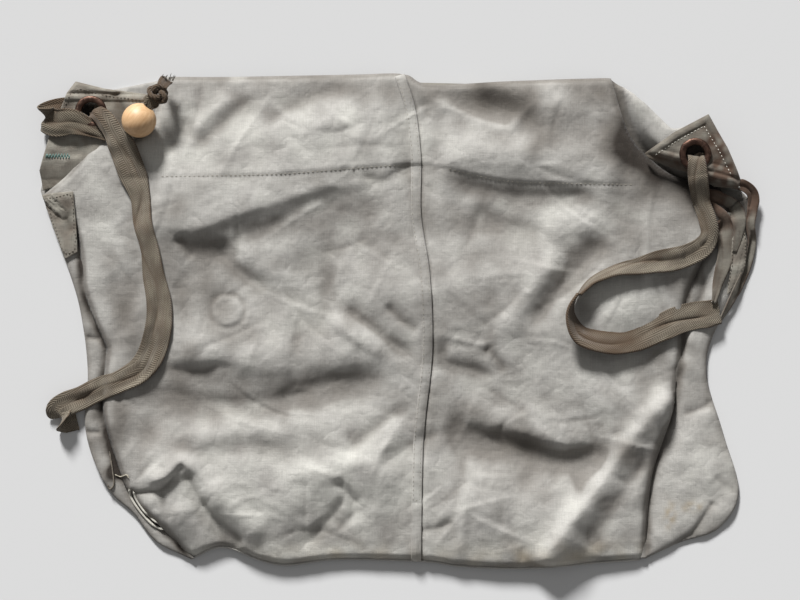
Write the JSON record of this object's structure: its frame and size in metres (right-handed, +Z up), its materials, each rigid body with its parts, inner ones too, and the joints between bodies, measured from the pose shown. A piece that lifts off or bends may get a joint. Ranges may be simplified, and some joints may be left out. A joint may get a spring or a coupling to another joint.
{
  "type": "mail sack",
  "caption": "Flat canvas sack with an open mouth, hemmed eyelet flaps at its corners, herringbone tapes through the eyelets and a wooden bead stop on a knotted tape.",
  "frame": {"origin": "on the surface under the middle of the sack, which lies flat on its back", "axes": "+X towards the right side seen from above, +Y towards the mouth, +Z up from the back panel to the front panel"},
  "size_m": [0.648, 0.448, 0.0463],
  "materials": {
    "canvas": "faded grey-green cotton canvas, worn and creased",
    "canvas_inside": "less faded cotton canvas",
    "herringbone_tape": "herringbone cotton tape, soiled",
    "olive_tape": "dark olive cotton tape",
    "thread": "off-white cotton thread",
    "green_thread": "blue-green cotton thread",
    "eyelet_metal": "oxidised reddish brown metal with worn glints",
    "bead_wood": "pale turned wood, satin"
  },
  "bodies": {
    "sack": {"back_panel": "canvas", "front_left_panel": "canvas", "front_right_panel": "canvas", "centre_seam_strip": "canvas", "left_gusset": "canvas", "right_gusset": "canvas", "bottom_strip": "canvas", "front_mouth_facing": "canvas_inside", "back_mouth_facing": "canvas_inside", "left_corner_flap": "canvas", "right_corner_flap": "canvas", "left_side_patch": "canvas", "right_side_patch": "canvas", "left_eyelet_barrel": "eyelet_metal", "left_eyelet_washer": "eyelet_metal", "right_eyelet_barrel": "eyelet_metal", "right_eyelet_washer": "eyelet_metal", "left_tape": "herringbone_tape", "right_tape": "herringbone_tape", "bead_tape": "olive_tape", "bead_tape_knot": "olive_tape", "bead_tape_tail": "olive_tape", "centre_seam_stitching": "thread", "left_facing_stitching": "thread", "right_facing_stitching": "thread", "left_flap_stitching": "thread", "right_flap_stitching": "thread", "left_patch_stitching": "thread", "right_patch_stitching": "thread", "left_flap_bar_tack": "green_thread"},
    "bead": {"wooden_bead": "bead_wood"}
  },
  "joints": [
    {"name": "bead_slide", "type": "slide", "parent": "sack", "child": "bead", "axis": [0.5927, 0.7865, 0.1736], "range_m": [0, 0.006]}
  ]
}
